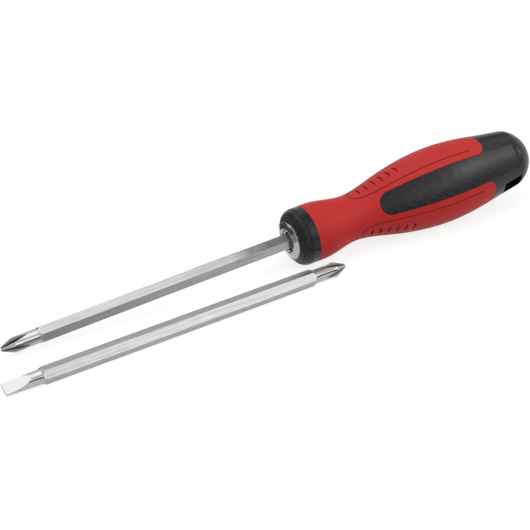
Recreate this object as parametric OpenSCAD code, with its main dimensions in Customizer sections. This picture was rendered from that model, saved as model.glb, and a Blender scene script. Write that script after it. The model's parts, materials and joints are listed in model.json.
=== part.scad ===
// Straight screwdriver with two double-ended hexagon blades: one fitted in a
// two-colour moulded handle, the other lying beside it. Millimetres, +Z up.
// The screwdriver rests on its belly and its nose, so its axis dips to the tip.

/* [Blades] */
// Length of each blade from tip to tip
blade_len = 150; // [120:1:190]
// Hexagon across the flats
hex_af = 6; // [5.5:0.1:7]
// How far the fitted blade goes into the ferrule
blade_in = 25.9; // [18:0.1:45]
// Radius over the wings of the cross tip
wing_r = 3; // [2.6:0.05:3.1]
// Length from the cross point to the widest place of the wings
wing_len = 5; // [4:0.1:6]
// Radius of the small flat end of the cross point
point_r = 0.85; // [0.6:0.05:1.2]
// Radius of the round necks, where they meet the hexagon
tip_neck_r = 2.85; // [2.6:0.05:2.95]
// Length from the cross point to the end of its neck
cross_neck_len = 15; // [12:0.5:20]
// Distance from the axis to the root of a flute, at the point
flute_root = 0.5; // [0.4:0.05:0.7]
// Climb of a flute root away from the axis, at the point
flute_rise_angle = 6; // [4:0.5:8]
// Radius of the wheel that grinds the flutes
flute_wheel_r = 50; // [40:1:70]
// Angle between the two walls of a flute
flute_angle = 92; // [88:1:96]
// Half the width of the flat tip
flat_half_w = 2.5; // [2.2:0.05:2.8]
// Length from the flat tip's edge to the end of its neck
flat_neck_len = 15; // [12:0.5:20]
// Thickness of the flat tip at its edge
flat_tip_t = 1; // [0.8:0.05:1.3]
// Length of each ground flat, along its middle
flat_grind_len = 11; // [9:0.5:12]
// Radius of the wheel that grinds the flats
flat_wheel_r = 34; // [32:1:60]
// Length of the shoulder between a neck and the hexagon
shoulder_len = 1.1; // [0.6:0.1:1.6]
// Turn of the flat tip about the blade, from the first wing
flat_tip_angle = 120; // [0:5:180]

/* [Ferrule and socket] */
// How far the ferrule stands out of the handle
ferrule_len = 1.9; // [1.7:0.1:3]
// Radius of the ferrule's flange
flange_r = 7.8; // [7.2:0.1:8.4]
// Thickness of the flange's rim
flange_t = 0.5; // [0.3:0.1:0.8]
// Radius of the front edge, outside the bevel
front_r = 5.4; // [5.4:0.1:6.4]
// Radius of the round mouth
mouth_r = 5; // [4.9:0.1:5.3]
// Depth of the funnel behind the mouth
funnel_len = 1; // [0.6:0.1:1.4]
// Radius of the throat where the funnel ends
throat_r = 4.3; // [4.2:0.05:4.5]
// Radius of the tube inside the handle
socket_r = 5.8; // [5.5:0.1:6.4]
// Gap between the blade and each flat of the socket
socket_gap = 0.05; // [0.02:0.01:0.1]
// Gap between the end of the blade and the floor of the socket
floor_gap = 0.3; // [0.1:0.1:1]
// Thickness of the socket's floor
floor_t = 1.6; // [1:0.1:3]
// Radius of the spring ring's wire
ring_wire_r = 0.5; // [0.35:0.05:0.6]
// Gap between the spring ring and the corners of the blade
ring_gap = 0.03; // [0.01:0.01:0.1]
// Opening of the split in the spring ring
ring_split_angle = 50; // [20:5:90]

/* [Handle] */
// Length of the handle without the ferrule
handle_len = 115; // [100:1:135]
// Radius of the black nose collar
nose_r = 11.75; // [10.5:0.05:12.5]
// Radius of the rounding at the front of the nose
nose_round = 3.9; // [2.5:0.1:4]
// Angle round that rounding to the groove in it
nose_groove_angle = 36; // [34:1:45]
// Radius of that groove's round section
nose_groove_r = 0.6; // [0.3:0.05:0.7]
// Angle round the rounding to the fine ring line behind the groove
ring_line_angle = 78; // [70:1:82]
// Radius of the ring line's round section
ring_line_r = 0.3; // [0.2:0.05:0.4]
// Radius of the boss that carries the ferrule
boss_r = 8.6; // [8.2:0.1:8.9]
// How far the boss stands out of the nose
boss_len = 0.5; // [0.3:0.1:1]
// Radius of the neck
neck_r = 9.5; // [8.8:0.05:10.5]
// Radius of the belly
belly_r = 16.15; // [14:0.05:18]
// Radius where the domed butt starts
butt_r = 11.9; // [10.5:0.05:13]
// Length of the domed butt
dome_len = 8.3; // [7:0.1:11]
// Depth of the hanging slot along the handle
slot_len = 9.5; // [6:0.5:10]
// Width of the hanging slot across the handle
slot_w = 7; // [5:0.5:8]
// Distance from the butt to the middle of the hanging slot
slot_back = 14; // [13.5:0.5:17]

/* [Grip] */
// Distance from the front of the nose to the red sleeve
sleeve_from = 6.8; // [6:0.1:9]
// Thickness of the red sleeve
sleeve_t = 2; // [1.5:0.1:2.4]
// Distance from the butt to the ends of the red tongues
tongue_back = 24.5; // [23:0.5:29]
// Corner radius of the tongues, as an angle about the handle's axis
tongue_corner_angle = 15; // [8:1:18]
// Half the angle that a black panel takes up
panel_half_angle = 23.75; // [20:0.25:26]
// Distance from the front of the nose to the start of the black panels
panel_from = 37; // [34:0.5:42]
// How far the edges of a panel lie under the red sleeve
panel_step = 0.1; // [0.05:0.05:0.3]
// How far the axis of a panel's crown lies beyond the handle's axis
crown_offset = 8; // [5:0.5:12]
// Number of finger notches on each tongue
notch_count = 6; // [3:1:8]
// Distance from the front of the nose to the first notch
notch_from = 32.2; // [30:0.1:36]
// Distance from one notch to the next
notch_pitch = 3.65; // [3:0.05:4]
// Length of a notch along the handle, from its steep wall to where it runs out
notch_len = 1.6; // [1.2:0.1:2]
// Depth of a notch at its steep wall
notch_depth = 0.6; // [0.4:0.05:0.8]
// Radius that the steep wall is bowed to
notch_bow_r = 4.5; // [3:0.1:8]
// Width of the line pressed round the notches
line_w = 0.4; // [0.3:0.05:0.8]
// Depth of the pressed line
line_depth = 0.3; // [0.2:0.05:0.6]
// Radius of the arch that closes the pressed line in front of the first notch
line_arch_r = 3.4; // [3:0.1:4]
// Angle from the middle of a tongue to the pressed line
line_angle = 25; // [22:0.5:28]

/* [Spare blade] */
// Distance of the spare blade's flat tip in front of the fitted blade's point
spare_ahead = 10.2; // [0:0.1:30]
// Distance between the axes of the two blades, at the flat tip
spare_away = 25.5; // [25:0.1:60]
// Turn of the spare blade towards the handle
spare_yaw_angle = 3.2; // [0:0.05:3.6]

/* [Hidden] */
// overrun of every cut past the surface it opens
over = 1;
lobes = 3;
lobe_angle = 360 / lobes;
steel_fn = 64;
wire_fn = 24;

// blade
hex_r = hex_af / sqrt(3);
cross_hex_at = cross_neck_len + shoulder_len;
flat_hex_at = flat_neck_len + shoulder_len;
wings = 4;
wing_angle = 360 / wings;
// slope of a ground flat at the edge, so that its hollow runs out of the neck at its full length
flat_rise_angle =
  atan((tip_neck_r - flat_tip_t / 2) / flat_grind_len - flat_grind_len / (2 * flat_wheel_r));

// handle outline: distance from the nose, radius and slope at each station
collar_share = 0.118;
neck_share = 0.234;
rise_share = 0.368;
belly_share = 0.6175;
back_share = 0.809;
collar_r_share = 0.985;
rise_r_share = 0.415;
back_r_share = 0.49;
dome_at = handle_len - dome_len;
neck_at = neck_share * handle_len;
belly_at = belly_share * handle_len;
// slopes as shares of the mean slope of their stretch
collar_slope_share = 1.1;
rise_slope_share = 1.64;
back_slope_share = 1.47;
collar_slope = collar_slope_share * (neck_r - nose_r) / (neck_at - sleeve_from);
rise_slope = rise_slope_share * (belly_r - neck_r) / (belly_at - neck_at);
back_slope = back_slope_share * (butt_r - belly_r) / (dome_at - belly_at);
stations = [
  [sleeve_from, nose_r, 0],
  [collar_share * handle_len, nose_r * collar_r_share, collar_slope],
  [neck_at, neck_r, 0],
  [rise_share * handle_len, neck_r + rise_r_share * (belly_r - neck_r), rise_slope],
  [belly_at, belly_r, 0],
  [back_share * handle_len, butt_r + back_r_share * (belly_r - butt_r), back_slope],
  [dome_at, butt_r, back_slope]
];
outline_steps = 5;
dome_r = (dome_len * dome_len + butt_r * butt_r) / (2 * dome_len);
dome_centre = handle_len - dome_r;
dome_start_angle = atan2(butt_r, dome_at - dome_centre);
dome_steps = 9;
nose_steps = 6;
// where the boss runs into the rounding of the nose
nose_start_angle = asin(max(0, 1 - (nose_r - boss_r) / nose_round));

// grip
panel_angle = lobe_angle / 2;
tongue_half_angle = panel_angle - panel_half_angle;
// the round head of a panel is a little wider than the panel, so the walls cross cleanly
head_swell_angle = 0.25;
head_half_angle = panel_half_angle + head_swell_angle;
trim_margin_angle = 0.6;
trim_half_angle = panel_half_angle + trim_margin_angle;
wall_foot = socket_r / 2;
wall_top = belly_r + over;
tongue_end = handle_len - tongue_back;
corner_inset_angle = 0.6;

// ferrule
ring_mid_r = hex_r + ring_gap + ring_wire_r;
ring_groove_r = ring_mid_r + ring_wire_r + 2 * socket_gap;
ring_groove_w = 2 * (ring_wire_r + socket_gap);
blade_out = blade_len - blade_in;
socket_depth = blade_in + floor_gap;
socket_len = socket_depth + floor_t;
hex_at = funnel_len + ring_groove_w + ring_wire_r;

// where the nose of the handle lies along the blade
handle_at = blade_out + ferrule_len;

function cubic(t, a, b, ga, gb) =
  (2 * t * t * t - 3 * t * t + 1) * a + (t * t * t - 2 * t * t + t) * ga
  + (3 * t * t - 2 * t * t * t) * b + (t * t * t - t * t) * gb;

// point of the nose's rounding at an angle round it from the front
function nose_point(a) = [nose_round * (1 - cos(a)), nose_r - nose_round * (1 - sin(a))];

// distance along the blade at which the shoulder's cone has cleared the hexagon
function shoulder_end(neck_len) =
  neck_len + shoulder_len * (hex_r + over - tip_neck_r) / (hex_r - tip_neck_r);

function span_point(i, t) =
  let (p = stations[i], q = stations[i + 1], run = q[0] - p[0])
  [p[0] + t * run, cubic(t, p[1], q[1], p[2] * run, q[2] * run)];

// handle outline from the sleeve's front to the dome, as distance and radius
function outline_from(i) = [for (k = [0:outline_steps - 1]) span_point(i, k / outline_steps)];

grip_outline = [
  each [for (i = [0:len(stations) - 2]) each outline_from(i)],
  [dome_at, butt_r]
];

dome_outline = [for (k = [1:dome_steps])
  let (a = dome_start_angle * (1 - k / dome_steps))
  [dome_centre + dome_r * cos(a), dome_r * sin(a)]];

// radius of the outline at a distance from the nose
function grip_r(x) = lookup(x, grip_outline);

// radius of a panel's crown about its own axis, so that the panel's edges lie just under the sleeve
function crown_r(r) =
  norm([r - panel_step + crown_offset * cos(panel_half_angle), crown_offset * sin(panel_half_angle)]);

// where the rounded head of a panel and the rounded corners of a tongue have their centres
panel_head_at = panel_from + grip_r(panel_from) * tan(head_half_angle);
tongue_corner_at = tongue_end - grip_r(tongue_end) * tan(tongue_corner_angle);

// depth of a panel's middle under the handle's axis at each place of the outline
panel_low = [for (p = grip_outline)
  if (p[0] > panel_from)
    [handle_at + p[0], crown_r(p[1]) - crown_offset]];

// low places in front of the belly, as distance from the point and depth:
// a wing and a corner of the blade, and the nose
front_low = [
  [wing_len, wing_r * cos(wing_angle - panel_angle)],
  [cross_hex_at, hex_r],
  [handle_at + nose_round, nose_r]
];

// tilt at which the belly and one of those places touch the same level
tilt = min([for (q = front_low) max([for (p = panel_low) atan((p[1] - q[1]) / (p[0] - q[0]))])]);
tip_height = max([for (q = front_low) q[1] * cos(tilt) - q[0] * sin(tilt)]);

// middle of the whole, which the origin lies under
x_high = (handle_at + dome_centre) * cos(tilt) + dome_r;
x_low = -spare_ahead - flat_half_w * sin(spare_yaw_angle);
y_low = -spare_away + flat_hex_at * sin(spare_yaw_angle) - hex_r * cos(spare_yaw_angle);
y_high = belly_r;
tool_at = [-(x_high + x_low) / 2, -(y_high + y_low) / 2, tip_height];
spare_at = tool_at + [-spare_ahead, -spare_away, hex_af / 2 - tip_height];

// turns a profile of distances and radii about the X axis
module turned(points) {
  rotate([90, 0, 90])
    rotate_extrude()
      polygon([for (p = points) [p[1], p[0]]]);
}

// places the screwdriver's own frame, X from the point to the butt
module tool_frame() {
  translate(tool_at)
    rotate([0, -tilt, 0])
      children();
}

module handle_frame() {
  tool_frame()
    translate([handle_at, 0, 0])
      children();
}

module each_tongue() {
  for (k = [0:lobes - 1])
    rotate([k * lobe_angle, 0, 0])
      children();
}

module each_panel() {
  rotate([panel_angle, 0, 0])
    each_tongue()
      children();
}

// wedge about the X axis that opens upwards, with its foot cut off
module wedge(half, x0, x1) {
  translate([x0, 0, 0])
    rotate([90, 0, 90])
      linear_extrude(x1 - x0)
        polygon([
          [-wall_foot * tan(half), wall_foot],
          [wall_foot * tan(half), wall_foot],
          [wall_top * tan(half), wall_top],
          [-wall_top * tan(half), wall_top]
        ]);
}

// upright cone with its point on the X axis, cut off at the foot
module radial_cone(half, x) {
  translate([x, 0, wall_foot])
    cylinder(
      h = wall_top - wall_foot,
      r1 = wall_foot * tan(half),
      r2 = wall_top * tan(half),
      $fn = steel_fn
    );
}

// room between the inside of the sleeve and the air outside it
module sleeve_shell(raise) {
  turned([
    each [for (p = grip_outline) [p[0], p[1] + raise]],
    each [for (i = [len(grip_outline) - 1:-1:0]) [grip_outline[i][0], grip_outline[i][1] - sleeve_t]]
  ]);
}

// region of the red sleeve: the round neck and three tongues with rounded ends
module red_region() {
  corner_inset = corner_inset_angle * grip_r(tongue_end) / wall_top;
  difference() {
    union() {
      translate([sleeve_from, 0, 0])
        rotate([0, 90, 0])
          cylinder(h = panel_head_at - sleeve_from, r = wall_top, $fn = steel_fn);
      each_tongue() {
        wedge(tongue_half_angle, panel_head_at - over, tongue_corner_at);
        wedge(tongue_half_angle - tongue_corner_angle, panel_head_at - over, tongue_end);
        for (side = [-1, 1])
          rotate([side * (tongue_half_angle - tongue_corner_angle - corner_inset_angle), 0, 0])
            radial_cone(tongue_corner_angle, tongue_corner_at - corner_inset);
      }
    }
    each_panel()
      radial_cone(head_half_angle, panel_head_at);
  }
}

// the black handle moulding as it would be without the red sleeve's room
module handle_blank() {
  turned([
    [-boss_len, 0],
    [-boss_len, boss_r],
    [nose_point(nose_start_angle)[0], boss_r],
    each [for (k = [1:nose_steps])
      nose_point(nose_start_angle + (90 - nose_start_angle) * k / nose_steps)],
    each grip_outline,
    each dome_outline
  ]);
}

// ring line round the nose, through a point of its outline
module ring_line(p, line_r) {
  translate([p[0], 0, 0])
    rotate([0, 90, 0])
      rotate_extrude()
        translate([p[1], 0])
          circle(r = line_r, $fn = wire_fn);
}

// flatter crown of a panel, turned about an axis beyond the handle's own, rising out of the butt
module panel_crown() {
  crown_from = panel_from - 2 * over;
  translate([0, 0, -crown_offset])
    turned([
      [crown_from, 0],
      [crown_from, crown_r(grip_r(crown_from))],
      each [for (p = grip_outline) if (p[0] > crown_from && p[0] < dome_at) [p[0], crown_r(p[1])]],
      [dome_at, crown_r(butt_r + over)],
      [dome_at + over, crown_r(butt_r + over)],
      [dome_at + over, 0]
    ]);
}

// what a panel's crown leaves off the round blank
module panel_trim() {
  difference() {
    wedge(trim_half_angle, panel_from - over, dome_at);
    panel_crown();
  }
}

// black hard moulding: nose, three panels and the domed butt with its hanging slot
module handle_core() {
  color("#3a3a3c")
    handle_frame()
      difference() {
        handle_blank();
        each_panel()
          panel_trim();
        ring_line(nose_point(nose_groove_angle), nose_groove_r);
        ring_line(nose_point(ring_line_angle), ring_line_r);
        intersection() {
          red_region();
          sleeve_shell(over);
        }
        translate([-boss_len - over, 0, 0])
          rotate([0, 90, 0])
            cylinder(h = socket_len - ferrule_len + boss_len + over, r = socket_r, $fn = steel_fn);
        rotate([lobe_angle, 0, 0])
          translate([handle_len - slot_back, 0, 0])
            cube([slot_len, slot_w, 4 * belly_r], center = true);
      }
}

// one notch: a bowed steep wall, and a floor that slopes up from its foot towards the nose
module notch(k) {
  wall_at = notch_from + k * notch_pitch + notch_len / 2;
  front = wall_at - notch_len;
  floor_angle = atan((grip_r(front) - grip_r(wall_at) + notch_depth) / notch_len);
  intersection() {
    translate([wall_at - notch_bow_r, 0, wall_foot])
      cylinder(h = wall_top - wall_foot, r = notch_bow_r, $fn = steel_fn);
    translate([wall_at, 0, grip_r(wall_at) - notch_depth])
      rotate([0, floor_angle, 0])
        translate([-2 * notch_len, -2 * notch_bow_r, 0])
          cube([2 * notch_len + over, 4 * notch_bow_r, belly_r]);
  }
}

// pressed line round a tongue's notches: an arch in front of them and a line along each side
module pressed_line() {
  arch_at = notch_from - notch_len / 2;
  side_at = panel_from;
  side_end = tongue_corner_at - line_arch_r;
  reach = [side_at - arch_at, grip_r(side_at) * sin(line_angle)];
  arch_angle = atan2(reach[1], reach[0]) + acos(line_arch_r / norm(reach));
  leg_len = sqrt(norm(reach) * norm(reach) - line_arch_r * line_arch_r);
  translate([arch_at, 0, 0])
    rotate([0, 0, arch_angle])
      rotate_extrude(angle = 360 - 2 * arch_angle)
        translate([line_arch_r - line_w / 2, wall_foot])
          square([line_w, wall_top - wall_foot]);
  for (side = [0, 1])
    mirror([0, side, 0]) {
      translate([arch_at, 0, 0])
        rotate([0, 0, arch_angle])
          translate([line_arch_r - line_w / 2, -leg_len, wall_foot])
            cube([line_w, leg_len, wall_top - wall_foot]);
      rotate([-line_angle, 0, 0])
        translate([side_at, -line_w / 2, 0])
          cube([side_end - side_at, line_w, wall_top]);
    }
}

// red soft overmould: the neck and three tongues between the black panels
module grip_sleeve() {
  color("#c8393b")
    handle_frame()
      difference() {
        intersection() {
          red_region();
          sleeve_shell(0);
        }
        each_tongue() {
          for (k = [0:notch_count - 1])
            notch(k);
          difference() {
            pressed_line();
            turned([
              [0, 0],
              each [for (p = grip_outline) [p[0], p[1] - line_depth]],
              [dome_at, 0]
            ]);
          }
        }
      }
}

// chromed ferrule and hexagon socket in one turned piece
module blade_socket() {
  color("#d5d7da")
    tool_frame()
      translate([blade_out, 0, 0])
        difference() {
          turned([
            [0, 0],
            [0, front_r],
            [ferrule_len - boss_len - flange_t, flange_r],
            [ferrule_len - boss_len, flange_r],
            [ferrule_len - boss_len, socket_r],
            [socket_len, socket_r],
            [socket_len, 0]
          ]);
          turned([
            [-over, 0],
            [-over, mouth_r],
            [0, mouth_r],
            [funnel_len, throat_r],
            [funnel_len, ring_groove_r],
            [funnel_len + ring_groove_w, ring_groove_r],
            [funnel_len + ring_groove_w, throat_r],
            [hex_at, throat_r],
            [hex_at, 0]
          ]);
          rotate([90, 0, 90])
            rotate([0, 0, 90])
              cylinder(h = socket_depth, r = hex_r + socket_gap * hex_r / (hex_af / 2), $fn = 6);
        }
}

// split ring of spring wire that grips the corners of the blade
module spring_ring() {
  color("#9a9c9f")
    tool_frame()
      translate([blade_out + funnel_len + ring_groove_w / 2, 0, 0])
        rotate([0, 90, 0])
          rotate([0, 0, ring_split_angle / 2])
            rotate_extrude(angle = 360 - ring_split_angle)
              translate([ring_mid_r, 0])
                circle(r = ring_wire_r, $fn = wire_fn);
}

// flute between two wings, as the rim of a grinding wheel leaves it
module flute() {
  reach = 2 * hex_r;
  side = reach * tan(flute_angle / 2);
  translate([-flute_wheel_r * sin(flute_rise_angle), 0, flute_root + flute_wheel_r * cos(flute_rise_angle)])
    rotate([90, 0, 0])
      rotate_extrude()
        polygon([
          [flute_wheel_r, 0],
          [flute_wheel_r - reach, side],
          [flute_wheel_r - reach, -side]
        ]);
}

// round outline that the hexagon bar is turned down to at both ends
module blade_turning() {
  turned([
    [0, 0],
    [0, point_r],
    [wing_len, wing_r],
    [cross_neck_len, tip_neck_r],
    [shoulder_end(cross_neck_len), hex_r + over],
    [blade_len - shoulder_end(flat_neck_len), hex_r + over],
    [blade_len - flat_neck_len, tip_neck_r],
    [blade_len, flat_half_w],
    [blade_len, 0]
  ]);
}

// hollow-ground flat on one side of the flat tip, as the rim of a grinding wheel leaves it
module grind() {
  translate([
    blade_len + flat_wheel_r * sin(flat_rise_angle),
    0,
    flat_tip_t / 2 + flat_wheel_r * cos(flat_rise_angle)
  ])
    rotate([90, 0, 0])
      cylinder(h = 4 * hex_r, r = flat_wheel_r, center = true, $fn = steel_fn);
}

// double-ended blade along X, cross point at the origin, first wing and a corner upwards
module blade() {
  difference() {
    intersection() {
      rotate([90, 0, 90])
        rotate([0, 0, 90])
          cylinder(h = blade_len, r = hex_r, $fn = 6);
      blade_turning();
    }
    for (k = [0:wings - 1])
      rotate([(k + 0.5) * wing_angle, 0, 0])
        flute();
    rotate([flat_tip_angle, 0, 0])
      for (side = [0, 180])
        rotate([side, 0, 0])
          grind();
  }
}

// blade held in the socket, cross tip out, flat tip hidden
module fitted_blade() {
  color("#b9bbbe")
    tool_frame()
      rotate([panel_angle, 0, 0])
        blade();
}

// second blade on the table, on one of its flats, flat tip forward
module spare_blade() {
  color("#b9bbbe")
    translate(spare_at)
      rotate([0, 0, spare_yaw_angle])
        translate([blade_len, 0, 0])
          rotate([0, 0, 180])
            rotate([panel_angle / 2, 0, 0])
              blade();
}

handle_core();
grip_sleeve();
blade_socket();
spring_ring();
fitted_blade();
spare_blade();
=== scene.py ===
"""Looks of a straight screwdriver with a spare double-ended blade beside it.

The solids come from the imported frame. This add-on gives them their finishes, and
sets the pale stage, the studio light and the camera. Lengths are in metres.
"""

import json
import math

import bpy
import numpy as np
from bpy.props import FloatProperty, FloatVectorProperty, PointerProperty
from mathutils import Matrix, Vector


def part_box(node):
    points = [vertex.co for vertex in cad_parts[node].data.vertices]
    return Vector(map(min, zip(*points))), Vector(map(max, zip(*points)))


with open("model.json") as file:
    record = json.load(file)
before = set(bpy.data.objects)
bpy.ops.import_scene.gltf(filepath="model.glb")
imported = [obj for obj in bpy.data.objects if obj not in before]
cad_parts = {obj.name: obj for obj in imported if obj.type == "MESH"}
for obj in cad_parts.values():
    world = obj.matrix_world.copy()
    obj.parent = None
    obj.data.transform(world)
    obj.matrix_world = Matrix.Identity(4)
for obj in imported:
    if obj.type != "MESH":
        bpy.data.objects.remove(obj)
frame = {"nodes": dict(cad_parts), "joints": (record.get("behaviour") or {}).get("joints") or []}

bl_info = {
    "name": "Screwdriver looks",
    "version": (1, 0, 0),
    "blender": (4, 5, 0),
    "location": "View3D > Sidebar > Screwdriver",
    "description": "Finishes, stage, light and camera for a two-colour screwdriver and its spare blade",
    "category": "Object",
}

MM = 0.001
BACK = Vector((0, 1, 0))
DOWN = Vector((0, 0, -1))
WHITE = (1, 1, 1, 1)
# Most values of a noise pattern lie between these two
NOISE_SPAN = {"From Min": 0.3, "From Max": 0.7}


def rgb(code):
    """Linear colour of an sRGB hex code such as '#c83a38'."""
    parts = [int(code[i:i + 2], 16) / 255 for i in (1, 3, 5)]
    linear = [c / 12.92 if c <= 0.04045 else ((c + 0.055) / 1.055) ** 2.4 for c in parts]
    return (*linear, 1.0)


def per(size_mm):
    """Scale of a pattern on Object coordinates whose grain is size_mm wide."""
    return 1 / (size_mm * MM)


def slide_axis(name):
    """Unit direction of a slide joint."""
    joint = next(j for j in frame["joints"] if j["name"] == name)
    return Vector(joint["axis"]).normalized()


def lie_of(node):
    """Middle of a long node, the turns that bring its long axis to X, and half its length."""
    points = np.array([v.co for v in frame["nodes"][node].data.vertices])
    middle = (points.min(axis=0) + points.max(axis=0)) / 2
    spreads, axes = np.linalg.eigh(np.cov((points - middle).T))
    along = axes[:, np.argmax(spreads)]
    along = along * np.sign(along[0])
    reach = (points - middle) @ along
    turn = (0, math.asin(along[2]), -math.atan2(along[1], along[0]))
    return middle, turn, (reach.max() - reach.min()) / 2


def under_end(node):
    """Point of the table under the low X end of a node, on its middle line."""
    low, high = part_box(node)
    return Vector((low.x, (low.y + high.y) / 2, 0))


# The handle and its blade lie along the withdrawing direction, turned round
TOOL_TILT = math.asin(-slide_axis("blade_slide").z)
# The small cards of the stage are placed from the ferrule's front and the fitted blade's tip
FERRULE = under_end("blade_socket")
TIP = under_end("fitted_blade")


def colour(name, description, code):
    """Property for a colour, whose default is an sRGB hex code."""
    return FloatVectorProperty(name=name, description=description, subtype="COLOR", size=4,
                               min=0, max=1, default=rgb(code))


def length(name, description, default, least, most):
    """Property for a small length on the object, given in millimetres."""
    return FloatProperty(name=name, description=description, subtype="DISTANCE", unit="LENGTH",
                         min=least * MM, max=most * MM, default=default * MM)


def angle(name, description, degrees):
    """Property for an angle, whose default is in degrees."""
    return FloatProperty(name=name, description=description, subtype="ANGLE", unit="ROTATION",
                         default=math.radians(degrees))


def power(name, description, watts):
    """Property for the power of a lamp."""
    return FloatProperty(name=name, description=description, unit="POWER", min=0, default=watts)


class HandleFinish(bpy.types.PropertyGroup):
    """Colours and edges of the two mouldings."""

    core: colour("Hard moulding", "Colour of the black polypropylene", "#0a0a0b")
    # Painted glints: paler spots in the grain stand in for the glints of the spark-eroded texture
    core_painted_glint: colour("Hard moulding, pale", "Colour of its burnished high spots", "#29292b")
    grip: colour("Soft grip", "Colour of the red elastomer", "#c62523")
    grip_dark: colour("Soft grip, deep", "Colour of its deeper clouding", "#b81f1e")
    # Painted shade: colour that the red skin is darkened to in its notches, pressed lines and along the
    # moulding's edges
    grip_painted_shade: colour("Soft grip, recesses", "Colour in its notches and pressed lines", "#8c1115")
    edge: length("Moulded edge", "Radius of the mouldings' edges", 0.3, least=0.05, most=1)


class SteelFinish(bpy.types.PropertyGroup):
    """Colours, edges and ground ends of the plated and plain steel."""

    bar: colour("Plated bar", "Colour of the satin nickel on the blades", "#ababab")
    bar_streak: colour("Drawing lines", "Darker colour along the drawing lines", "#8d8d8d")
    ground: colour("Ground ends", "Colour of the turned necks and ground tips", "#acacab")
    # Painted shade: colour that the bars are darkened to in the flutes and at the shoulders
    soot: colour("Grinding soot", "Colour left in the flutes and shoulders", "#161617")
    chrome: colour("Chrome", "Colour of the bright chrome on the ferrule", "#aaaaaa")
    wire: colour("Spring wire", "Colour of the drawn spring wire", "#b9b9b8")
    ground_len: length("Ground length", "Length of each turned and ground end", 16, least=5, most=40)
    rim: length("Ferrule edge", "Radius of the turned edges of the ferrule", 0.35, least=0.05, most=1)
    edge: length("Bar edge", "Radius of the worn edges of the hexagon bar", 0.16, least=0.02, most=0.5)


class StageSetup(bpy.types.PropertyGroup):
    """Table, cards, light and camera."""

    floor: colour("Table", "Colour of the table where it is seen", "#9a9a9a")
    floor_bounce: colour("Table bounce", "Colour that the table throws its light back with", "#b8b8b8")
    floor_lift: FloatProperty(name="Table lift", description="How far the seen table is lifted to white",
                              subtype="FACTOR", min=0, max=1, default=0.8)
    grey_card: colour("Grey card", "Felt on the large cards round the object", "#545456")
    pale_card: colour("Pale card", "Felt on the small card behind the ferrule", "#727273")
    white_card: colour("White card", "Felt on the small card over the collar", "#ffffff")
    overhead_light: power("Overhead light", "Power of the softbox over the object", 3.8)
    butt_light: power("Butt light", "Power of the softbox beyond the butt", 1.9)
    front_light: power("Front light", "Power of the softbox in front", 1.15)
    room_light: FloatProperty(name="Room light", description="Strength of the light from all round",
                              min=0, max=2, default=0.55)
    camera_at: FloatVectorProperty(name="Camera", description="Place of the camera", subtype="TRANSLATION",
                                   unit="LENGTH", size=3, default=(-0.31486, -0.55507, 0.34421))
    azimuth: angle("Azimuth", "Direction the camera looks in, from +X towards +Y", 60.836)
    dip: angle("Dip", "How far the camera looks down", 27.898)
    roll: angle("Roll", "Turn of the camera about its view", -3.106)
    lens: FloatProperty(name="Lens", description="Focal length of the camera", subtype="DISTANCE_CAMERA",
                        unit="CAMERA", min=20, max=300, default=124.82)
    sensor: FloatProperty(name="Sensor", description="Width of the camera's sensor",
                          subtype="DISTANCE_CAMERA", unit="CAMERA", min=1, max=100, default=36)


def new_material(name):
    """A named node material, its tree and its Principled shader."""
    material = bpy.data.materials.new(name)
    material.use_nodes = True
    tree = material.node_tree
    return material, tree, tree.nodes["Principled BSDF"]


def set_sockets(tree, node, values=None, links=None):
    """Sets a node's uniform inputs on their own sockets, and links its others."""
    for key, value in (values or {}).items():
        node.inputs[key].default_value = value
    for key, socket in (links or {}).items():
        tree.links.new(socket, node.inputs[key])


def add_node(tree, kind, settings=None, values=None, links=None):
    """Adds a node of a kind, with its settings, uniform inputs and links."""
    node = tree.nodes.new("ShaderNode" + kind)
    for key, value in (settings or {}).items():
        setattr(node, key, value)
    set_sockets(tree, node, values, links)
    return node


def object_point(tree, middle=(0, 0, 0), turn=(0, 0, 0), stretch=(1, 1, 1)):
    """Object coordinates, centred and turned so that a pattern follows the piece, and stretched."""
    point = add_node(tree, "TexCoord").outputs["Object"]
    for key, value in (("Location", [-c for c in middle]), ("Rotation", turn), ("Scale", stretch)):
        point = add_node(tree, "Mapping", values={key: value}, links={"Vector": point}).outputs["Vector"]
    return point


def open_share(tree, reach, low, high, own):
    """Is 0 where walls within reach leave no more than the share low open, and 1 from the share high on.

    With own, only the piece's own walls count, and otherwise its neighbours' too.
    """
    air = add_node(tree, "AmbientOcclusion", {"samples": 12, "only_local": own}, {"Distance": reach})
    return add_node(tree, "MapRange", values={"From Min": low, "From Max": high},
                    links={"Value": air.outputs["AO"]}).outputs["Result"]


def grained_normal(tree, radius, height, strength, depth):
    """Normal of a surface whose edges are rounded to a radius and that a pattern stands up from."""
    rounded = add_node(tree, "Bevel", {"samples": 8}, {"Radius": radius})
    raised = add_node(tree, "Bump", values={"Strength": strength, "Distance": depth},
                      links={"Height": height, "Normal": rounded.outputs["Normal"]})
    return raised.outputs["Normal"]


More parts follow.
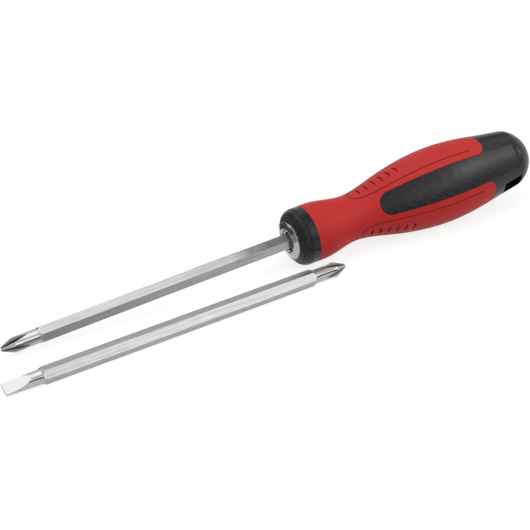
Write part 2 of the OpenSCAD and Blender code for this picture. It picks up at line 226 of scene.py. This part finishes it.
def moulded_polypropylene(finish):
    """Polypropylene, injection moulded in a spark-eroded tool: near black, with paler spots in its grain
    painted as glints.
    """
    material, tree, shader = new_material("moulded_polypropylene")
    # Spark grain is about 0.3 mm, and is drawn at 0.9 mm so that it shows
    grain = add_node(tree, "TexNoise", values={"Scale": per(0.9), "Detail": 3.0, "Roughness": 0.6},
                     links={"Vector": object_point(tree)}).outputs["Fac"]
    # Painted glints: the grain's high spots are painted in the paler colour
    high = add_node(tree, "MapRange", values={"From Min": 0.42, "From Max": 0.68}, links={"Value": grain})
    shade = add_node(tree, "Mix", {"data_type": "RGBA"}, {"A": finish.core, "B": finish.core_painted_glint},
                     {"Factor": high.outputs["Result"]})
    rough = add_node(tree, "MapRange", values={**NOISE_SPAN, "To Min": 0.28, "To Max": 0.38},
                     links={"Value": grain})
    set_sockets(tree, shader, {"IOR": 1.49, "Specular IOR Level": 0.3}, {
        "Base Color": shade.outputs["Result"],
        "Roughness": rough.outputs["Result"],
        "Normal": grained_normal(tree, finish.edge, grain, strength=0.5, depth=0.06 * MM),
    })
    return material


def soft_elastomer(finish):
    """Thermoplastic elastomer, overmoulded: a dull red skin with a faint clouding, a fine grain and painted
    shade in its recesses.
    """
    material, tree, shader = new_material("soft_elastomer")
    point = object_point(tree)
    # The skin's grain is about 0.15 mm, and is drawn at 0.4 mm so that it shows
    grain = add_node(tree, "TexNoise", values={"Scale": per(0.4), "Detail": 4.0, "Roughness": 0.65},
                     links={"Vector": point}).outputs["Fac"]
    # The pigment clouds over some 9 mm
    cloud = add_node(tree, "TexNoise", values={"Scale": per(9), "Detail": 4.0}, links={"Vector": point})
    skin = add_node(tree, "Mix", {"data_type": "RGBA"}, {"A": finish.grip_dark, "B": finish.grip},
                    {"Factor": cloud.outputs["Fac"]})
    # Painted shade: the skin is darkened where walls close in, in the notches, the pressed lines and along
    # the moulding's edges
    shade = add_node(tree, "Mix", {"data_type": "RGBA"}, {"A": finish.grip_painted_shade}, {
        "Factor": open_share(tree, reach=0.9 * MM, low=0.5, high=0.9, own=False),
        "B": skin.outputs["Result"],
    })
    rough = add_node(tree, "MapRange", values={**NOISE_SPAN, "To Min": 0.5, "To Max": 0.62},
                     links={"Value": grain})
    set_sockets(tree, shader, {"Specular IOR Level": 0.3}, {
        "Base Color": shade.outputs["Result"],
        "Roughness": rough.outputs["Result"],
        "Normal": grained_normal(tree, finish.edge, grain, strength=0.3, depth=0.03 * MM),
    })
    return material


def satin_nickel_bar(finish, name, node):
    """Satin nickel on cold-drawn hexagon bar: fine lines along each flat, bright ground ends, and painted
    shade in the flutes and at the shoulders.
    """
    material, tree, shader = new_material(name)
    middle, turn, half = lie_of(node)
    # Drawing lines are about 0.05 mm apart, and are drawn 0.25 mm apart so that they show
    lines = add_node(tree, "TexNoise", values={"Scale": per(0.25), "Detail": 2.0},
                     links={"Vector": object_point(tree, middle, turn, (0.012, 1, 1))}).outputs["Fac"]
    # The plating's sheen clouds over some 6 mm
    cloud = add_node(tree, "TexNoise", values={"Scale": per(6), "Detail": 3.0},
                     links={"Vector": object_point(tree)})
    # The wheel leaves marks across the ends, 0.05 mm apart and drawn 0.3 mm apart
    marks = add_node(tree, "TexNoise", values={"Scale": per(0.3), "Detail": 2.0},
                     links={"Vector": object_point(tree, middle, turn, (1, 0.08, 0.08))}).outputs["Fac"]
    # The ground ends start at the shoulders, and the plating fades out over 0.6 mm there
    place = add_node(tree, "SeparateXYZ", links={"Vector": object_point(tree, middle, turn)})
    reach = add_node(tree, "Math", {"operation": "ABSOLUTE"}, links={0: place.outputs["X"]})
    shoulder = half - finish.ground_len
    ground = add_node(tree, "MapRange", values={"From Min": shoulder, "From Max": shoulder + 0.6 * MM},
                      links={"Value": reach.outputs["Value"]}).outputs["Result"]
    streak = add_node(tree, "MapRange", values=NOISE_SPAN, links={"Value": lines})
    drawn = add_node(tree, "Mix", {"data_type": "RGBA"}, {"A": finish.bar_streak, "B": finish.bar},
                     {"Factor": streak.outputs["Result"]})
    plated = add_node(tree, "Mix", {"data_type": "RGBA"}, {"B": finish.ground},
                      {"Factor": ground, "A": drawn.outputs["Result"]})
    # Painted shade: the flutes and the shoulders are darkened within 2.2 mm of a corner
    flute_shaded = add_node(tree, "Mix", {"data_type": "RGBA"}, {"A": finish.soot}, {
        "Factor": open_share(tree, reach=2.2 * MM, low=0.66, high=0.99, own=True),
        "B": plated.outputs["Result"],
    })
    satin = add_node(tree, "MapRange", values={**NOISE_SPAN, "To Min": 0.22, "To Max": 0.32},
                     links={"Value": cloud.outputs["Fac"]})
    bright = add_node(tree, "MapRange", values={**NOISE_SPAN, "To Min": 0.08, "To Max": 0.14},
                      links={"Value": marks})
    rough = add_node(tree, "Mix", {"data_type": "FLOAT"}, links={
        "Factor": ground, "A": satin.outputs["Result"], "B": bright.outputs["Result"]})
    height = add_node(tree, "Mix", {"data_type": "FLOAT"}, links={"Factor": ground, "A": lines, "B": marks})
    set_sockets(tree, shader, {"Metallic": 1.0}, {
        "Base Color": flute_shaded.outputs["Result"],
        "Roughness": rough.outputs["Result"],
        "Normal": grained_normal(tree, finish.edge, height.outputs["Result"], strength=0.3, depth=0.01 * MM),
    })
    return material


def bright_chrome(finish):
    """Bright chrome on turned steel: mirror-like, with a trace of the turning marks."""
    material, tree, shader = new_material("bright_chrome")
    # Turning marks are about 0.05 mm apart, and are drawn 0.3 mm apart so that they show
    along = object_point(tree, turn=(0, TOOL_TILT, 0), stretch=(1, 0.05, 0.05))
    marks = add_node(tree, "TexNoise", values={"Scale": per(0.3), "Detail": 2.0},
                     links={"Vector": along}).outputs["Fac"]
    rough = add_node(tree, "MapRange", values={"To Min": 0.05, "To Max": 0.13}, links={"Value": marks})
    set_sockets(tree, shader, {"Base Color": finish.chrome, "Metallic": 1.0}, {
        "Roughness": rough.outputs["Result"],
        "Normal": grained_normal(tree, finish.rim, marks, strength=0.08, depth=0.01 * MM),
    })
    return material


def drawn_spring_wire(finish):
    """Drawn spring steel wire: smooth and bright, clouded by oil over some 1.5 mm."""
    material, tree, shader = new_material("drawn_spring_wire")
    cloud = add_node(tree, "TexNoise", values={"Scale": per(1.5), "Detail": 3.0},
                     links={"Vector": object_point(tree)})
    rough = add_node(tree, "MapRange", values={"To Min": 0.14, "To Max": 0.28},
                     links={"Value": cloud.outputs["Fac"]})
    set_sockets(tree, shader, {"Base Color": finish.wire, "Metallic": 1.0},
                {"Roughness": rough.outputs["Result"]})
    return material


def dress(node, material):
    """Gives a CAD node its only material."""
    slots = frame["nodes"][node].data.materials
    slots.clear()
    slots.append(material)


def seen_rays(tree):
    """Is 1 for the rays that show the background: camera, mirror and glass rays."""
    path = add_node(tree, "LightPath")
    mirror = add_node(tree, "Math", {"operation": "MAXIMUM"},
                      links={0: path.outputs["Is Camera Ray"], 1: path.outputs["Is Glossy Ray"]})
    glass = add_node(tree, "Math", {"operation": "MAXIMUM"},
                     links={0: mirror.outputs["Value"], 1: path.outputs["Is Transmission Ray"]})
    return glass.outputs["Value"]


def white_table(setup):
    """Matt white laminate: the rays that show the background see it lifted to white, its shadows kept."""
    material, tree, shader = new_material("white_laminate")
    seen = seen_rays(tree)
    shade = add_node(tree, "Mix", {"data_type": "RGBA"}, {"A": setup.floor_bounce, "B": setup.floor},
                     {"Factor": seen})
    set_sockets(tree, shader, {"Roughness": 0.6, "Specular IOR Level": 0.0},
                {"Base Color": shade.outputs["Result"]})
    lift = add_node(tree, "Math", {"operation": "MULTIPLY"}, {1: setup.floor_lift}, {0: seen})
    glow = add_node(tree, "Emission", values={"Color": WHITE}, links={"Strength": lift.outputs["Value"]})
    total = add_node(tree, "AddShader", links={0: shader.outputs["BSDF"], 1: glow.outputs["Emission"]})
    set_sockets(tree, tree.nodes["Material Output"], links={"Surface": total.outputs["Shader"]})
    return material


def felt(name, tone):
    """Felt on a card: matt, so that metal mirrors it as one even tone."""
    material, tree, shader = new_material(name)
    set_sockets(tree, shader, {"Base Color": tone, "Roughness": 0.9, "Specular IOR Level": 0.0})
    return material


def backlit_diffuser(name, start, end, dark, light):
    """Backlit diffuser on a card: its glow rises from dark where X is start to light where X is end."""
    material, tree, _ = new_material(name)
    place = add_node(tree, "SeparateXYZ", links={"Vector": object_point(tree)})
    glow = add_node(tree, "MapRange", links={"Value": place.outputs["X"]},
                    values={"From Min": start, "From Max": end, "To Min": dark, "To Max": light})
    panel = add_node(tree, "Emission", values={"Color": WHITE}, links={"Strength": glow.outputs["Result"]})
    set_sockets(tree, tree.nodes["Material Output"], links={"Surface": panel.outputs["Emission"]})
    return material


def facing(at, aim):
    """Turn that points -Z from a place to an aim, with Y as upright as it goes."""
    return (Vector(aim) - Vector(at)).to_track_quat("-Z", "Y").to_matrix()


def flat_sheet(name, at, aim, size, cover):
    """Stage sheet that faces an aim, with its place in its mesh.

    Its corner (u, v) lies at the middle plus u half widths across and v half heights up,
    for u and v of -1 and 1.
    """
    across, up, _ = np.array(facing(at, aim)).T
    u, v = np.array([(-1, -1), (1, -1), (1, 1), (-1, 1)]).T
    points = np.array(at) + np.outer(u * size[0] / 2, across) + np.outer(v * size[1] / 2, up)
    mesh = bpy.data.meshes.new(name)
    mesh.from_pydata(points.tolist(), [], [range(len(points))])
    mesh.materials.append(cover)
    sheet = bpy.data.objects.new(name, mesh)
    bpy.context.scene.collection.objects.link(sheet)
    return sheet


def add_card(name, at, aim, size, cover):
    """Card at a place, turned to a point, that only mirror rays meet."""
    card = flat_sheet(name, at, aim, size, cover)
    card.visible_camera = False
    card.visible_diffuse = False
    card.visible_shadow = False


def add_lit_card(name, at, aim, size, dark, light):
    """Card at a place, turned to a point, whose glow rises along X from end to end."""
    half = size[0] / 2
    cover = backlit_diffuser(name + "_diffuser", at.x - half, at.x + half, dark, light)
    add_card(name + "_card", at, aim, size, cover)


def add_softbox(name, at, aim, size, watts):
    """Rectangular soft light at a place, turned to a point."""
    lamp = bpy.data.lights.new(name, "AREA")
    lamp.shape = "RECTANGLE"
    lamp.size, lamp.size_y = size
    lamp.energy = watts
    softbox = bpy.data.objects.new(name, lamp)
    softbox.matrix_world = Matrix.Translation(at) @ facing(at, aim).to_4x4()
    softbox.visible_camera = False
    bpy.context.scene.collection.objects.link(softbox)


def hang_softboxes(setup):
    """The three softboxes: over the object, beyond the butt and in front."""
    add_softbox("overhead_softbox", at=(-0.1, 0.05, 1), aim=(-0.1, 0.05, 0), size=(1, 1.1),
                watts=setup.overhead_light)
    add_softbox("butt_softbox", at=(0.78, -0.58, 0.59), aim=(0.1, 0, 0.03), size=(0.35, 0.3),
                watts=setup.butt_light)
    add_softbox("front_softbox", at=(0.465, -0.86, 0.505), aim=(0, 0, 0), size=(0.7, 0.4),
                watts=setup.front_light)


def stand_far_cards(setup):
    """Large grey cards round the object that give polished metal its dark bands."""
    grey = felt("grey_felt", setup.grey_card)
    add_card("front_flag", at=(0.4, -0.9, 0.1), aim=(0.4, 0, 0.1), size=(1.6, 0.18), cover=grey)
    add_card("back_flag", at=(0.86, 0.9, 0.55), aim=(0, 0, 0), size=(0.55, 0.5), cover=grey)
    add_card("rear_left_flag", at=(-0.42, 0.85, 0.2), aim=(0, 0, 0.1), size=(0.7, 0.45), cover=grey)
    add_card("left_flag", at=(-0.9, 0, 0.09), aim=(0, 0, 0.01), size=(1.2, 0.17), cover=grey)


def stand_near_cards(setup):
    """Small cards that the ferrule and the fitted blade mirror."""
    # One behind the ferrule gives its bevel a dark upper half
    behind, front = (FERRULE + MM * Vector(offset) for offset in ((-18.4, 26, 7.5), (1.6, 0, 7.5)))
    add_card("ferrule_flag", behind, front, (47 * MM, 15 * MM), felt("pale_felt", setup.pale_card))
    # One over the collar fades the upper face of the fitted blade towards the ferrule
    over = FERRULE + MM * Vector((27.6, -2, 80))
    add_card("collar_flag", over, over + DOWN, (50 * MM, 50 * MM), felt("white_felt", setup.white_card))
    # Two lit ones between the blades keep the spare blade out of the lower face of the fitted one
    standing, lying = (TIP + MM * Vector(offset) for offset in ((85.2, -12, 5), (30.2, -12, 0.2)))
    add_lit_card("gap", standing, standing + BACK, (100 * MM, 9 * MM), dark=0.68, light=1.08)
    add_lit_card("tip", lying, lying + DOWN, (80 * MM, 11 * MM), dark=0.5, light=0.86)


def studio_world(setup):
    """White studio: the rays that show the background see white, and the rest a soft grey room."""
    world = bpy.data.worlds.new("studio")
    world.use_nodes = True
    tree = world.node_tree
    room = tree.nodes["Background"]
    set_sockets(tree, room, {"Color": WHITE, "Strength": setup.room_light})
    white = add_node(tree, "Background", values={"Color": WHITE, "Strength": 1.0})
    both = add_node(tree, "MixShader", links={
        0: seen_rays(tree), 1: room.outputs["Background"], 2: white.outputs["Background"]})
    set_sockets(tree, tree.nodes["World Output"], links={"Surface": both.outputs["Shader"]})
    bpy.context.scene.world = world


def add_camera(setup):
    """Camera that looks along an azimuth and a dip, turned about its view by the roll."""
    ca, sa = math.cos(setup.azimuth), math.sin(setup.azimuth)
    cd, sd = math.cos(setup.dip), math.sin(setup.dip)
    forward = Vector((ca * cd, sa * cd, -sd))
    level = Vector((sa, -ca, 0))
    over = level.cross(forward)
    right = math.cos(setup.roll) * level + math.sin(setup.roll) * over
    up = right.cross(forward)
    optics = bpy.data.cameras.new("camera")
    optics.sensor_width = setup.sensor
    optics.lens = setup.lens
    optics.clip_start = 10 * MM
    camera = bpy.data.objects.new("camera", optics)
    turn = Matrix((right, up, -forward)).transposed().to_4x4()
    camera.matrix_world = Matrix.Translation(setup.camera_at) @ turn
    bpy.context.scene.collection.objects.link(camera)
    bpy.context.scene.camera = camera


class SCREWDRIVER_OT_handle(bpy.types.Operator):
    """Finish the black moulding and the red overmould of the handle"""

    bl_idname = "screwdriver.handle"
    bl_label = "Handle mouldings"

    def execute(self, context):
        finish = context.scene.screwdriver_handle
        dress("handle_core", moulded_polypropylene(finish))
        dress("grip_sleeve", soft_elastomer(finish))
        return {"FINISHED"}


class SCREWDRIVER_OT_socket(bpy.types.Operator):
    """Finish the chromed ferrule and the spring ring inside its mouth"""

    bl_idname = "screwdriver.socket"
    bl_label = "Ferrule and spring ring"

    def execute(self, context):
        finish = context.scene.screwdriver_steel
        dress("blade_socket", bright_chrome(finish))
        dress("spring_ring", drawn_spring_wire(finish))
        return {"FINISHED"}


class SCREWDRIVER_OT_blades(bpy.types.Operator):
    """Finish the two double-ended blades"""

    bl_idname = "screwdriver.blades"
    bl_label = "Blades"

    def execute(self, context):
        finish = context.scene.screwdriver_steel
        dress("fitted_blade", satin_nickel_bar(finish, "satin_nickel_fitted", "fitted_blade"))
        dress("spare_blade", satin_nickel_bar(finish, "satin_nickel_spare", "spare_blade"))
        return {"FINISHED"}


class SCREWDRIVER_OT_stage(bpy.types.Operator):
    """Lay the white table and set the studio light, the cards and the camera"""

    bl_idname = "screwdriver.stage"
    bl_label = "Table, light and camera"

    def execute(self, context):
        setup = context.scene.screwdriver_stage
        floor = flat_sheet("floor", at=(0, 0, 0), aim=DOWN, size=(12, 12), cover=white_table(setup))
        studio_world(setup)
        hang_softboxes(setup)
        stand_far_cards(setup)
        stand_near_cards(setup)
        add_camera(setup)
        context.scene.view_settings.view_transform = "Standard"
        return {"FINISHED"}


class SCREWDRIVER_PT_looks(bpy.types.Panel):
    """Lists the steps that dress the screwdriver"""

    bl_label = "Screwdriver"
    bl_space_type = "VIEW_3D"
    bl_region_type = "UI"
    bl_category = "Screwdriver"

    def draw(self, context):
        for step in STEPS:
            self.layout.operator(step.bl_idname)


STEPS = [SCREWDRIVER_OT_handle, SCREWDRIVER_OT_socket, SCREWDRIVER_OT_blades, SCREWDRIVER_OT_stage]
GROUPS = {
    "screwdriver_handle": HandleFinish,
    "screwdriver_steel": SteelFinish,
    "screwdriver_stage": StageSetup,
}
CLASSES = [*GROUPS.values(), *STEPS, SCREWDRIVER_PT_looks]


def register():
    """Registers the classes and hangs the settings on the scene."""
    for cls in CLASSES:
        bpy.utils.register_class(cls)
    for name, group in GROUPS.items():
        setattr(bpy.types.Scene, name, PointerProperty(type=group))


def unregister():
    """Takes the settings and the classes away again."""
    for name in GROUPS:
        delattr(bpy.types.Scene, name)
    for cls in reversed(CLASSES):
        bpy.utils.unregister_class(cls)


def main():
    """Runs every step in order."""
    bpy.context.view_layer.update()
    register()
    bpy.ops.screwdriver.handle()
    bpy.ops.screwdriver.socket()
    bpy.ops.screwdriver.blades()
    bpy.ops.screwdriver.stage()


if __name__ == "__main__":
    main()
